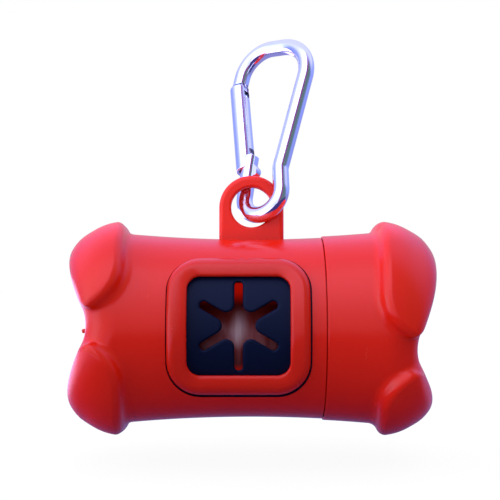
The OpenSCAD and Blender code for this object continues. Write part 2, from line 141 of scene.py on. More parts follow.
def joined(parts):
    # several closed surfaces in one list of points and faces
    points, faces, count = [], [], 0
    for p, f in parts:
        points.append(p)
        faces += [[i + count for i in face] for face in f]
        count += len(p)
    return np.concatenate(points), faces


def flipped(skin):
    # the same surface with its faces turned over
    return skin[0], [face[::-1] for face in skin[1]]


def cutAway(piece, cutters):
    # exact cuts, applied at once so that the piece keeps no modifier
    for cutter in cutters:
        mod = piece.modifiers.new("cut", "BOOLEAN")
        mod.operation, mod.solver, mod.object = "DIFFERENCE", "EXACT", cutter
    graph = bpy.context.evaluated_depsgraph_get()
    mesh = bpy.data.meshes.new_from_object(piece.evaluated_get(graph))
    piece.modifiers.clear()
    piece.data = mesh
    for cutter in cutters:
        bpy.data.objects.remove(cutter)
    smoothed(mesh, 32)


def tube(centres, u, v, radius, sides=48):
    # circle of the given radius carried along centres, in the plane of u and v
    ring = circle(fullTurn(sides))[None, :, :, None]
    rings = centres[:, None, :] + radius * (ring[:, :, 0] * u[:, None, :] + ring[:, :, 1] * v[:, None, :])
    return cappedSkin(rings, centres[0], centres[-1])


class Wire:
    # one output socket; arithmetic on it adds Math nodes
    def __init__(self, look, socket):
        self.look, self.socket = look, socket

    def calc(self, operation, *values):
        return self.look.node("ShaderNodeMath", dict(operation=operation), self, *values)[0]

    def __add__(self, other):
        return self.calc("ADD", other)

    def __mul__(self, other):
        return self.calc("MULTIPLY", other)

    def __sub__(self, other):
        return self.calc("SUBTRACT", other)

    def __rsub__(self, other):
        return self.calc("MULTIPLY", -1.0) + other

    def __truediv__(self, other):
        return self.calc("DIVIDE", other)

    def __pow__(self, other):
        return self.calc("POWER", other)

    __radd__, __rmul__ = __add__, __mul__

    def between(self, low, high):
        # 0 below low, 1 above high and a smooth step between them
        settings = dict(interpolation_type="SMOOTHSTEP")
        return self.look.node("ShaderNodeMapRange", settings, self, low, high, 0.0, 1.0)[0]


class Look:
    # a material, or the world, in the making
    def __init__(self, name, kind="materials"):
        self.material = getattr(bpy.data, kind).new(name)
        self.material.use_nodes = True
        self.tree = self.material.node_tree
        self.tree.nodes.clear()
        place = "Object" if kind == "materials" else "Generated"
        self.place = self.node("ShaderNodeTexCoord", {}).at(place)

    def node(self, kind, settings, *values, **named):
        # values go to the enabled inputs in their order, and named ones to the inputs of that name
        made = self.tree.nodes.new(kind)
        for key, value in settings.items():
            setattr(made, key, value)
        feeds = list(zip([socket for socket in made.inputs if socket.enabled], values))
        feeds += [(made.inputs[name.replace("_", " ")], value) for name, value in named.items()]
        for socket, value in feeds:
            if isinstance(value, Wire):
                self.tree.links.new(value.socket, socket)
            else:
                socket.default_value = value
        return Outputs(self, made)

    def noise(self, scale, detail=3.0, roughness=0.5, place=None, distortion=0.0):
        # a pattern from 0 to 1 over coordinates in metres, finer with a larger scale
        return self.node("ShaderNodeTexNoise", {}, Vector=place or self.place, Scale=scale, Detail=detail,
                         Roughness=roughness, Distortion=distortion).at("Fac")

    def stretched(self, scale):
        # the piece's own coordinates, scaled along each axis
        return self.node("ShaderNodeVectorMath", dict(operation="MULTIPLY"), self.place, scale)[0]

    def tint(self, fac, first, second):
        # from the first colour to the second as fac goes from 0 to 1
        return self.node("ShaderNodeMix", dict(data_type="RGBA"), fac, first, second)[0]

    def bump(self, height, distance, strength):
        # distance in metres
        bump = self.node("ShaderNodeBump", {}, Height=height, Distance=distance, Strength=strength)
        return bump.at("Normal")

    def mixed(self, fac, first, second):
        # from the first shader to the second as fac goes from 0 to 1
        return self.node("ShaderNodeMixShader", {}, fac, first, second)[0]

    def glowing(self, colour):
        # a shader that shows the colour itself
        return self.node("ShaderNodeEmission", {}, Color=colour, Strength=1.0)[0]

    def finish(self, **sockets):
        # closes the material with one principled shader
        shader = self.node("ShaderNodeBsdfPrincipled", {}, **sockets)
        self.node("ShaderNodeOutputMaterial", {}, Surface=shader.at("BSDF"))
        return self.material


class Outputs:
    # what a node gives out, by name or by place
    def __init__(self, look, made):
        self.look, self.made = look, made

    def at(self, name):
        return Wire(self.look, self.made.outputs[name])

    def __getitem__(self, index):
        return Wire(self.look, [socket for socket in self.made.outputs if socket.enabled][index])


def linear(r, g, b):
    # screen colour out of 255 to the shader's linear colour
    c = np.array([r, g, b]) / 255.0
    return tuple(np.where(c <= 0.04045, c / 12.92, ((c + 0.055) / 1.055) ** 2.4)) + (1.0,)


def placeOf(point):
    # a point of the bone in the metres that a material reads
    return [float(v) for v in (onBone(np.array(point)) - origin) * metres]


def paint(piece, material):
    # one finish over the whole piece
    piece.data.materials.clear()
    piece.data.materials.append(material)


def dress(node, material):
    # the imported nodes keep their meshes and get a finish
    paint(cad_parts[node], material)


bone = dict(waist=20.6, flare=1.15, flareAt=27.0, halfLen=43.1, top=24.85, corner=13.9,
            hollowLen=36.25, hollowSlope=0.59, hollowRound=5.8,
            shoulder=28.85, shoulderRound=8.0, lean=0.085, draft=0.52, foot=3.6,
            rim=1.3, crease=1.3, valley=2.8, barrelEnd=6.3, rayFrom=22.0, rayReach=(12.0, 40.0))


def softMin(a, b, k):
    # smaller of two fields, blended over a width k
    h = np.maximum(k - np.abs(a - b), 0) / k
    return np.minimum(a, b) - h * h * k / 4


def roundEdge(a, b, r):
    # two faces that meet in a round edge of radius r
    p, q = a + r, b + r
    return np.hypot(np.maximum(p, 0), np.maximum(q, 0)) + np.minimum(np.maximum(p, q), 0) - r


def barrelRadius(x):
    # the barrel flares towards its ends with the square of the distance from its middle
    return bone["waist"] + bone["flare"] * (x / bone["flareAt"]) ** 2


def boneField(p, proud):
    # negative inside the bone: a barrel with round ends and a hollow across each end, and knuckles
    # that stand out of it all round like a turned collar, with sloping shoulders and feet
    b = bone
    e, h, rho = np.abs(p[..., 0]), np.abs(p[..., 2]), np.hypot(p[..., 1], p[..., 2])
    skin = rho - barrelRadius(e) - proud
    face = b["hollowLen"] + b["hollowSlope"] * (np.hypot(h, b["hollowRound"]) - b["hollowRound"])
    hollow = (e - face) / math.hypot(1, b["hollowSlope"])
    slope, size = b["draft"] * np.maximum(skin, 0), math.hypot(1, b["draft"])
    shoulder = (b["shoulder"] - b["lean"] * np.abs(p[..., 1]) + slope - e) / size
    outline = roundEdge(shoulder, (b["foot"] + slope - h) / size, b["shoulderRound"])
    crown = roundEdge(e - b["halfLen"], rho - b["top"], b["corner"])
    barrel = roundEdge(roundEdge(skin, hollow, b["barrelEnd"]), crown, b["valley"])
    knuckle = -softMin(-roundEdge(outline, crown, b["rim"]), -hollow, b["valley"])
    return softMin(barrel, knuckle, b["crease"])


def reach(start, ways, proud):
    # the point on each ray where the field is zero, by halving
    low, high = (np.full(ways.shape[:-1], far) for far in bone["rayReach"])
    for halving in range(26):
        middle = (low + high) / 2
        inside = boneField(start + ways * middle[..., None], proud) < 0
        low, high = np.where(inside, middle, low), np.where(inside, high, middle)
    return start + ways * low[..., None]


def spread(stops, counts):
    # numbers that run through the stops, with a count of steps between each pair
    runs = [np.linspace(a, b, n + 1)[:-1] for a, b, n in zip(stops, stops[1:], counts)]
    return np.concatenate(runs + [[stops[-1]]])


def boneEnd(xEnd, proud, tubeRings):
    # the outer skin from the middle of the end face at -X along to xEnd: rays fan out from a point on the
    # axis over the rounded end, closer together on the knuckles, and plain rings follow along the barrel
    start = np.array([-bone["rayFrom"], 0.0, 0.0])
    quarter = np.radians(spread([0, 52, 66, 84, 90], [22, 14, 32, 4]))
    half = np.concatenate([quarter, math.pi - quarter[-2:0:-1]])
    turn = np.concatenate([half, half + math.pi])
    way = np.stack([-np.sin(turn), np.cos(turn)], -1)
    rise = np.radians(spread([0, 36, 64, 78, 90], [34, 36, 44, 14]))[1:]
    along = np.broadcast_to(-np.cos(rise)[:, None, None], (len(rise), len(way), 1))
    ways = np.concatenate([along, np.sin(rise)[:, None, None] * way[None]], -1)
    pole = reach(start, np.array([[-1.0, 0, 0]]), proud)[0]
    xs = np.linspace(-bone["rayFrom"], xEnd, tubeRings + 1)[1:]
    return pole, reach(start, ways, proud), ringsOf(xs, barrelRadius(xs) + proud, way), way


def ringsOf(xs, radii, way):
    # rings about the roll's axis; radii may also change round the ring
    r = np.broadcast_to(np.asarray(radii, float).reshape(len(xs), -1, 1), (len(xs), len(way), 1))
    x = np.broadcast_to(np.asarray(xs, float)[:, None, None], (len(xs), len(way), 1))
    return np.concatenate([x, r * way[None]], -1)


def roundedOutline(width, height, radius, corner=16, upright=48, flat=40):
    # rounded rectangle as [x, z], counter-clockwise from the right end of its top corner
    arc = radius * circle(np.linspace(0, math.pi / 2, corner + 1))
    middle = (width / 2 - radius, height / 2 - radius)
    quarter = np.array([[0, 1], [-1, 0]])
    signs = np.array([(1, 1), (-1, 1), (-1, -1), (1, -1)])
    corners = [arc @ np.linalg.matrix_power(quarter, q) + signs[q] * middle for q in range(4)]
    out = []
    for q in range(4):
        steps = upright if q % 2 else flat
        share = np.linspace(0, 1, steps + 1)[1:-1, None]
        out += [corners[q], corners[q][-1] * (1 - share) + corners[(q + 1) % 4][0] * share]
    return np.concatenate(out)


def wrapped(outline, radius, middle):
    # outline laid round the roll's axis at a radius, on the viewer's side
    y = -np.sqrt(np.maximum(radius ** 2 - outline[..., 1] ** 2, 1.0))
    return np.stack([outline[..., 0] + middle, y, outline[..., 1]], -1)


# the square frame: it stands on the rubber, which lies in a seat cut into the bone
window = dict(middle=-2.8, width=31.0, height=30.0, corner=7.2, rim=4.3, seat=19.6, rubber=0.9, lift=0.03,
              side=0.7, crown=2.0, brow=0.36, fall=(0.35, 0.9), fallPower=1.5, ease=0.4, easePower=20,
              lipFrom=0.9, lipHeight=0.6,
              gap=0.3, aside=0.08, drop=0.24, openingIn=3.9, openingCorner=2.9, openingFrom=14.0, cutTo=30.0,
              peg=0.8, pegIn=0.75, pegFrom=14.25, pegTo=17.6)


def windowCutter(name, grow, corner, low, shift=(0, 0)):
    # curved block over the window: its outline shrinks to the middle at a low and at a high radius
    w = window
    outline = roundedOutline(w["width"] + 2 * grow, w["height"] + 2 * grow, corner) + shift
    shrink = np.linspace(1.0, 0.02, 14)[:, None, None]
    inner = wrapped(outline[None] * shrink[::-1], low, w["middle"])
    outer = wrapped(outline[None] * shrink, w["cutTo"], w["middle"])
    ends = [wrapped(np.zeros((1, 2)), radius, w["middle"])[0] for radius in (low, w["cutTo"])]
    points, faces = cappedSkin(np.concatenate([inner, outer]), *ends)
    return addMesh(name, onBone(points), faces)


# an ease is (along the axis, across it): what the edge gives up in each direction
body = dict(seam=16.2, land=20.1, landLen=1.4, neck=19.5, neckEnd=24.0, neckDraft=0.02, mouthLen=1.5,
            lipEase=(0.12, 0.14), landEase=(0.1, 0.1), neckEase=(0.25, 0.3), mouthEase=(0.2, 0.2),
            cavity=18.2, cavityEnd=33.5, chamfer=3.5, floor=(12.0, 1.0))
thread = dict(lead=4.0, height=0.42, flank=14.0, peak=2.6, start=0.15, stop=0.35,
              fadeIn=(0.6, 0.8), fadeOut=(0.9, 1.2))
tab = dict(width=15.2, thick=2.4, hole=9.5, holeZ=28.3, foot=18.9, edge=1.15, holeEdge=0.55)
nub = dict(middle=(0.0, -11.0, -1.0), along=(-35.5, -37.5, -37.8, -37.9), tip=-37.95,
           radii=(0.5, 0.5, 0.42, 0.2))


def threadedNeck(way):
    # a ridge that climbs one lead a turn: the radius follows a trapezoid of the place along the helix
    t = thread
    start, stop = body["seam"] + body["landLen"], body["neckEnd"]
    xs = np.linspace(start + t["start"], stop - t["stop"], 60)
    turn = np.arctan2(way[:, 1], way[:, 0]) / (2 * math.pi)
    along = (xs[:, None] / t["lead"] - turn[None, :]) % 1.0
    ridge = np.clip(t["peak"] - np.abs(along - 0.5) * t["flank"], 0, 1)
    fadeOut = np.clip((stop - t["fadeOut"][0] - xs) / t["fadeOut"][1], 0, 1)
    fadeIn = np.clip((xs - start - t["fadeIn"][0]) / t["fadeIn"][1], 0, 1)
    return ringsOf(xs, body["neck"] + t["height"] * ridge * (fadeOut * fadeIn)[:, None], way)


def drawnIn(outline, inwards):
    # every point moved towards the middle by a distance, or outwards by a negative one
    return outline * (1 - inwards / np.linalg.norm(outline, axis=-1, keepdims=True))


def roundOver(outline, ease, steps):
    # half-round edge: the outline is drawn in by ease at each side and by nothing in the middle, while the
    # depth goes from one side of the tab to the other
    c = np.linspace(0, math.pi, steps)[1:-1]
    depth = np.where(c <= math.pi / 2, abs(ease) * (1 - np.cos(c)) - tab["thick"] / 2,
                     tab["thick"] / 2 - abs(ease) * (1 + np.cos(c)))
    return drawnIn(outline, ease * (1 - np.sin(c))[:, None, None]), depth


def tabSkin():
    # slab with a round head, straight legs and a hole: one face, the outer edge, the other face and the
    # hole's edge, each face running from the hole's outline to the slab's
    t, way = tab, circle(np.linspace(-math.pi / 2, 3 * math.pi / 2, 388, endpoint=False))
    half = t["width"] / 2
    down = np.where(way[:, 1] < 0, -way[:, 1] / (t["holeZ"] - t["foot"]), 0)
    legs = 1 / np.maximum(np.maximum(np.abs(way[:, 0]) / half, down), 1e-6)
    hole, outer = way * t["hole"] / 2, way * np.where(way[:, 1] >= 0, half, legs)[:, None]
    share = np.linspace(0, 1, 9)[:, None, None]
    face = drawnIn(hole, -t["holeEdge"]) * (1 - share) + drawnIn(outer, t["edge"]) * share
    outerEdge, outerDepth = roundOver(outer, t["edge"], 15)
    holeEdge, holeDepth = roundOver(hole, -t["holeEdge"], 11)
    flat = np.concatenate([face, outerEdge, face[::-1], holeEdge])
    side = np.full(9, t["thick"] / 2)
    depth = np.concatenate([-side, outerDepth, side, -holeDepth])
    depth = np.broadcast_to(depth[:, None], flat.shape[:2])
    grid = np.stack([flat[..., 0], depth, flat[..., 1] + t["holeZ"]], -1)
    return grid.reshape(-1, 3), gridFaces(*grid.shape[:2], wrapRows=True)


def cavityRings(xStart, way):
    # the roll's room: a bore down to the closed end, with a chamfer round its bottom
    b = body
    xs = np.linspace(xStart, b["chamfer"] - b["cavityEnd"], 30)
    taper = np.linspace(0, b["chamfer"], 6)[1:]
    return np.concatenate([ringsOf(xs, np.full(30, b["cavity"]), way),
                           ringsOf(b["chamfer"] - b["cavityEnd"] - taper, b["cavity"] - taper, way),
                           ringsOf(np.full(5, -b["cavityEnd"]), np.linspace(*b["floor"], 5), way)])


def ringsAt(profile, way):
    # rings about the roll's axis from a profile of (place along it, radius)
    return ringsOf(*np.array(profile).T, way)


def makeBody():
    # one skin from the end face along the barrel, over the neck, in at its mouth and down to the room's end
    b, neckEnd, landEnd = body, body["neckEnd"], body["seam"] + body["landLen"]
    lipEase, landEase, neckEase, mouthEase = b["lipEase"], b["landEase"], b["neckEase"], b["mouthEase"]
    pole, ends, barrel, way = boneEnd(b["seam"] - lipEase[0], 0.0, 46)
    seam = ringsAt([(b["seam"], barrelRadius(b["seam"]) - lipEase[1]), (b["seam"], b["land"]),
                    (landEnd - landEase[0], b["land"]), (landEnd, b["land"] - landEase[1])], way)
    mouth = ringsAt([(neckEnd - neckEase[0], b["neck"] - b["neckDraft"]), (neckEnd, b["neck"] - neckEase[1]),
                     (neckEnd, b["cavity"] + mouthEase[1]), (neckEnd - mouthEase[0], b["cavity"])], way)
    inside = cavityRings(neckEnd - b["mouthLen"], way)
    skin = cappedSkin(np.concatenate([ends, barrel, seam, threadedNeck(way), mouth, inside]), pole,
                      np.array([-b["cavityEnd"], 0, 0]))
    # the moulder's gate mark in the hollow of the end
    mark = ringsOf(nub["along"], nub["radii"], way[::8]) + nub["middle"]
    foot, tip = (np.array([x, 0, 0]) + nub["middle"] for x in (nub["along"][0], nub["tip"]))
    points, faces = joined([skin, tabSkin(), flipped(cappedSkin(mark, foot, tip))])
    piece = addMesh("bone_body", onBone(points), faces, "shell", "shell_plastic")
    w = window
    seat = windowCutter("seat_cutter", w["gap"], w["corner"] + w["gap"], w["seat"], (w["aside"], -w["drop"]))
    opening = windowCutter("opening_cutter", -w["openingIn"], w["openingCorner"], w["openingFrom"])
    cutAway(piece, [seat, opening])
    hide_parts("main_shell")
    return piece


cap = dict(start=16.35, proud=0.3, turn=16.5, bore=20.15, boreEnd=24.4, step=19.0,
           lipEase=(0.2, 0.06), rimEase=(0.06, 0.2), boreEase=(0.12, 0.12), stepEase=(0.3, 0.3))


def turnedCap(points):
    # from the bone's -X end to its +X end, turned about the roll's axis
    a = math.radians(cap["turn"])
    p = points * [-1, -1, 1]
    y, z = p[:, 1] * math.cos(a) - p[:, 2] * math.sin(a), p[:, 1] * math.sin(a) + p[:, 2] * math.cos(a)
    return np.stack([p[:, 0], y, z], -1)


def makeCap():
    # one skin from the end face along the barrel, in at the rim, up the bore that takes the neck and down to
    # the room's end
    c, start = cap, -cap["start"]
    lipEase, rimEase, boreEase, stepEase = c["lipEase"], c["rimEase"], c["boreEase"], c["stepEase"]
    pole, ends, barrel, way = boneEnd(start - lipEase[0], c["proud"], 14)
    outside = barrelRadius(c["start"]) + c["proud"]
    rim = ringsAt([(start - rimEase[0], outside - lipEase[1]), (start, outside - rimEase[1]),
                   (start, c["bore"] + boreEase[1])], way)
    bore = ringsOf(np.linspace(start - boreEase[0], -c["boreEnd"], 30), np.full(30, c["bore"]), way)
    step = ringsOf(np.full(3, -c["boreEnd"]), [c["bore"] - stepEase[1], c["step"], body["cavity"]], way)
    inside = cavityRings(-c["boreEnd"] - stepEase[0], way)
    points, faces = cappedSkin(np.concatenate([ends, barrel, rim, bore, step, inside]), pole,
                               np.array([-body["cavityEnd"], 0, 0]))
    piece = addMesh("bone_cap", onBone(turnedCap(points)), faces, "cap", "shell_plastic")
    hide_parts("end_cap")
    return piece


def makeBezel():
    # a domed section carried round the window, every point at its own radius about the roll's axis:
    # t runs from the outer edge over the brow and down the face, then round underneath
    w = window
    outer = roundedOutline(w["width"], w["height"], w["corner"])
    inner = roundedOutline(w["width"] - 2 * w["rim"], w["height"] - 2 * w["rim"], w["corner"] - w["rim"])
    t = spread([0, w["brow"], w["lipFrom"], 1], [15, 17, 8])
    brow = w["side"] + (w["crown"] - w["side"]) * np.sqrt(np.maximum(1 - (1 - t / w["brow"]) ** 2, 0))
    # the face leans towards the window, more on the upper and lower bars than at the sides
    upright = ((outer - inner)[:, 1] / w["rim"]) ** 2
    fall = w["fall"][0] * (1 - upright) + w["fall"][1] * upright
    lean = np.maximum((t - w["brow"]) / (1 - w["brow"]), 0) ** w["fallPower"]
    face = w["crown"] - fall[None, :] * lean[:, None] - w["ease"] * t[:, None] ** w["easePower"]
    over = np.where(t[:, None] < w["brow"], brow[:, None], face)
    share = np.concatenate([[0, 0], t, [1, 1], np.linspace(0.9, 0.1, 9)])
    rest = np.ones(len(outer))
    height = np.concatenate([np.outer([0, w["side"] / 2], rest), over, np.outer([w["lipHeight"], 0], rest),
                             np.outer(np.zeros(9), rest)])
    flat = outer[None] * (1 - share[:, None, None]) + inner[None] * share[:, None, None]
    grid = wrapped(flat, w["seat"] + w["rubber"] + w["lift"] + height, w["middle"])
    parts = [(grid.reshape(-1, 3), gridFaces(*grid.shape[:2], wrapRows=True))]
    # a peg behind each corner holds the frame in the bone
    across, up = (size / 2 - w["rim"] * w["pegIn"] for size in (w["width"], w["height"]))
    for x, z in ((-across, -up), (-across, up), (across, -up), (across, up)):
        centres = np.array([(w["middle"] + x, -w["pegFrom"], z), (w["middle"] + x, -w["pegTo"], z)])
        parts.append(tube(centres, np.array([[1.0, 0, 0]] * 2), np.array([[0, 0, 1.0]] * 2), w["peg"], 24))
    points, faces = joined(parts)
    piece = addMesh("window_frame", onBone(points), faces, "shell", "bezel_plastic", 50)
    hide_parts("window_bezel")
    return piece


star = dict(arms=6, length=9.6, slot=1.8, tip=1.8, edge=0.5, ring=0.9, under=0.02, room=0.999)


def starOutline(grow):
    # slots with round ends, joined by round blade tips, as [x, z]; grow moves every point into the rubber
    s = star
    half, step = s["slot"] / 2, 2 * math.pi / s["arms"]
    blade = np.array([(half + s["tip"]) / math.tan(step / 2), -half - s["tip"]])
    tipArc = blade + (s["tip"] - grow) * circle(np.radians(np.linspace(150, 90, 8)))
    flat = np.linspace(blade[0], s["length"] - half, 12)[1:-1]
    lower = np.concatenate([tipArc, np.stack([flat, np.full(10, -half - grow)], -1)])
    end = [s["length"] - half, 0] + (half + grow) * circle(np.radians(np.linspace(-90, 90, 17)))
    sector = np.concatenate([lower, end, lower[:0:-1] * [1, -1]])
    turn = step / 2 + step * np.arange(s["arms"])
    turns = np.stack([circle(turn), circle(turn + math.pi / 2)], -2)
    return (sector[None] @ turns).reshape(-1, 2)


def makeRubber():
    # curved sheet between the star and a rounded rectangle under the bezel, with an eased edge along the star
    w, s = window, star
    low, high = w["seat"] + s["under"], w["seat"] + w["rubber"]
    turn = np.linspace(0, math.pi / 2, 6)
    near = [starOutline(s["edge"] * (1 - math.cos(a))) for a in turn] + [starOutline(s["ring"])]
    rim = roundedOutline(w["width"] + 2 * w["gap"], w["height"] + 2 * w["gap"], w["corner"] + w["gap"])
    rim = rim * s["room"] + [w["aside"], -w["drop"]]
    around = np.arctan2(near[-1][:, 1], near[-1][:, 0])
    rimAngle, rimReach = np.arctan2(rim[:, 1], rim[:, 0]), np.hypot(rim[:, 0], rim[:, 1])
    far = np.interp(around, rimAngle, rimReach, period=2 * math.pi)[:, None] * circle(around)
    share = np.linspace(0, 1, 16)[:, None, None]
    top = near[-1][None] * (1 - share) + far[None] * share
    base = near[0][None] * share[::5] + far[None] * (1 - share[::5])
    eased = high - s["edge"] * (1 - np.sin(turn))
    radii = np.concatenate([eased, np.full(len(top), high), np.full(len(base), low)])
    grid = wrapped(np.concatenate([near[:-1], top, base]), radii[:, None], w["middle"])
    skin = flipped((onBone(grid.reshape(-1, 3)), gridFaces(*grid.shape[:2], wrapRows=True)))
    piece = addMesh("star_rubber", *skin, "shell", "dark_rubber", 50)
    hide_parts("star_diaphragm")
    return piece


# folds are (height, waves across, waves along) of the film's ripples
roll = dict(radius=14.5, z=-3.4, halfWidth=12.0, start=24.0, sweep=91.0, gap=0.12, lift=1.7, film=0.12,
            narrow=0.35, gather=0.55, folds=((0.10, 9, 3), (0.05, 23, -7)))


def makeBagEnd():
    # loose end of the first bag: film that leaves the roll along a spiral, with a few soft folds
    r = roll
    t, s = np.meshgrid(np.linspace(0, 1, 90), np.linspace(-1, 1, 110), indexing="ij")
    a = np.radians(r["start"] + r["sweep"] * t)
    fold = r["gather"] * t ** 2 * (1 - np.abs(s)) ** 2
    for high, across, along in r["folds"]:
        fold = fold + high * t * np.sin(across * s + along * t)
    radius = r["radius"] + r["gap"] + r["gap"] * t + r["lift"] * t ** 2 + fold
    x = window["middle"] + s * r["halfWidth"] * (1 - r["narrow"] * t * t)
    sheets = []
    for layer in (radius, radius + r["film"]):
        sheets.append(np.stack([x, -layer * np.sin(a), r["z"] + layer * np.cos(a)], -1).reshape(-1, 3))
    rows, cols = t.shape
    count = rows * cols
    low = gridFaces(rows, cols, wrapCols=False)
    high = [face[::-1] for face in gridFaces(rows, cols, count, wrapCols=False)]
    # the film's edge: along the first row, down the last column, and back
    index = np.arange(count).reshape(rows, cols)
    edge = np.concatenate([index[0], index[1:, -1], index[-1, -2::-1], index[-2:0:-1, 0]])
    beside = np.roll(edge, -1)
    wall = np.stack([beside, edge, edge + count, beside + count], -1).tolist()
    piece = addMesh("bag_end", onBone(np.concatenate(sheets)), low + high + wall, "shell", "bag_film", 60)
    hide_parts("leading_bag")
    return piece


# the bar's middle line runs from the gate's latch round the eye and the crook to the gate's pivot
hook = dict(bar=1.95, pivot=(-5.4, 8.5), lean=21.2, axis=-0.5, bends=[0, 7.4, 9, 4, 5.2, 5.2, 0],
            path=[(-14.05, 29.6), (-14.3, 40.5), (6.2, 40.5), (5.1, 6.9), (8.9, -4.95), (-3.05, -4.95),
                  (-4.72, 10.1)],
            step=0.6, stepDegrees=2.5, tongue=1.9, tongueRound=1.45, tongueEnds=((0.9, 1.0), (1.75, -3.2)),
            ease=0.12, noseHalf=1.7, noseRoot=1.25, notch=0.72, notchTo=4.0, notchDeep=3.0,
            mouthFrom=15.0, mouthOver=0.25)
gate = dict(radius=2.35, bore=1.65, boreTop=15.0, foot=2.0, length=23.2, slot=2.1, slotTop=3.6, nose=3.6,
            latchDrop=2.0, chamfer=0.5, footEase=0.25, boreEase=0.1, sideFrom=0.6, sideTo=0.8,
            footPast=1.0, topPast=2.0, room=0.3, opens=(0, 14, 28), sweepTo=9.5)
wide = 6.0  # half of a cutter's size where it only has to be wide enough


def barPath():
    # middle line of the bar: straights and round bends, with a heading at every point
    pts, bends = np.array(hook["path"], float), hook["bends"]
    way = np.diff(pts, axis=0)
    way /= np.linalg.norm(way, axis=1, keepdims=True)
    centres, headings = [], []
    last = pts[0]
    for i in range(1, len(pts)):
        angle = math.acos(np.clip(way[i - 1] @ way[i], -1, 1)) if i < len(pts) - 1 else 0.0
        stop = pts[i] - way[i - 1] * (bends[i] * math.tan(angle / 2))
        steps = max(2, int(np.linalg.norm(stop - last) / hook["step"]))
        share = np.linspace(0, 1, steps + 1)[:, None]
        straight = last + (stop - last) * (share if i == 1 else share[1:])
        centres.append(straight)
        headings.append(np.tile(way[i - 1], (len(straight), 1)))
        if angle:
            side = math.copysign(1, way[i - 1][0] * way[i][1] - way[i - 1][1] * way[i][0])
            middle = stop + side * bends[i] * np.array([-way[i - 1][1], way[i - 1][0]])
            a = side * np.linspace(0, angle, max(8, int(math.degrees(angle) / hook["stepDegrees"])))[1:]
            turn = np.stack([np.stack([np.cos(a), -np.sin(a)], -1), np.stack([np.sin(a), np.cos(a)], -1)], -2)
            centres.append(middle + turn @ (stop - middle))
            headings.append(turn @ way[i - 1])
            last = centres[-1][-1]
    return np.concatenate(centres), np.concatenate(headings)


def gateFrame(points):
    # (across, along, towards the viewer) from the gate's pivot to the hook's plane
    a = math.radians(hook["lean"])
    p = np.asarray(points, float)
    x = hook["pivot"][0] + p[..., 0] * math.cos(a) - p[..., 1] * math.sin(a)
    y = hook["pivot"][1] + p[..., 0] * math.sin(a) + p[..., 1] * math.cos(a)
    return onHook(np.stack([x, y, p[..., 2]], -1))


def revolved(profile, sides=96):
    # profile of [radius, along] turned about the gate's axis, in the gate's own coordinates
    a = fullTurn(sides)
    pr = np.asarray(profile, float)
    ring = np.stack([np.cos(a), 0 * a, np.sin(a)], -1)
    rings = pr[:, 0, None, None] * ring[None] + pr[:, 1, None, None] * np.array([0, 1.0, 0])
    points, faces = cappedSkin(rings, np.array([0, pr[0, 1], 0]), np.array([0, pr[-1, 1], 0]))
    return points + [hook["axis"], 0, 0], faces


def slabSkin(outline, half, bevel=0.0):
    # flat plate in the gate's frame: outline of [across, along] to half its thickness each way, edges eased
    o = np.asarray(outline, float)
    centre = o.mean(0)
    inset = centre + (o - centre) * (1 - bevel / np.linalg.norm(o - centre, axis=1, keepdims=True).mean())
    levels = [(inset, -half), (o, bevel - half), (o, half - bevel), (inset, half)]
    rings = np.stack([np.concatenate([p, np.full((len(p), 1), z)], 1) for p, z in levels])
    points, faces = cappedSkin(rings, np.append(centre, -half), np.append(centre, half))
    return gateFrame(points), faces


def pinSkin(x, y, radius, half, sides=48):
    # cylinder across the hook's plane, in the gate's frame
    ring = [x, y] + radius * circle(fullTurn(sides))
    rings = np.stack([np.concatenate([ring, np.full((sides, 1), z)], 1) for z in (-half, half)])
    points, faces = cappedSkin(rings, np.array([x, y, -half]), np.array([x, y, half]))
    return gateFrame(points), faces


def capsule(p, q, r, n=40):
    # outline round two points at a distance r
    p, q = np.array(p, float), np.array(q, float)
    first = math.atan2(q[1] - p[1], q[0] - p[0])
    half = circle(np.linspace(first - math.pi / 2, first + math.pi / 2, n)) * r
    return np.concatenate([q + half, p - half])


def boxOutline(x0, x1, y0, y1):
    # four corners of an upright rectangle
    return np.array([(x0, y0), (x1, y0), (x1, y1), (x0, y1)])


def gateSweeps():
    # what the gate's foot sweeps through as it opens, with room round it
    g = gate
    foot, radius = -g["foot"] - g["room"], g["radius"] + g["room"]
    sweeps = []
    for opened in g["opens"]:
        a = math.radians(-opened)
        along = np.array([[math.cos(a), -math.sin(a)], [math.sin(a), math.cos(a)]])
        points, faces = revolved([(radius, foot), (radius, g["sweepTo"])], 64)
        points[:, :2] = points[:, :2] @ along.T
        sweeps.append(addMesh("sweep", gateFrame(points), faces))
    return sweeps


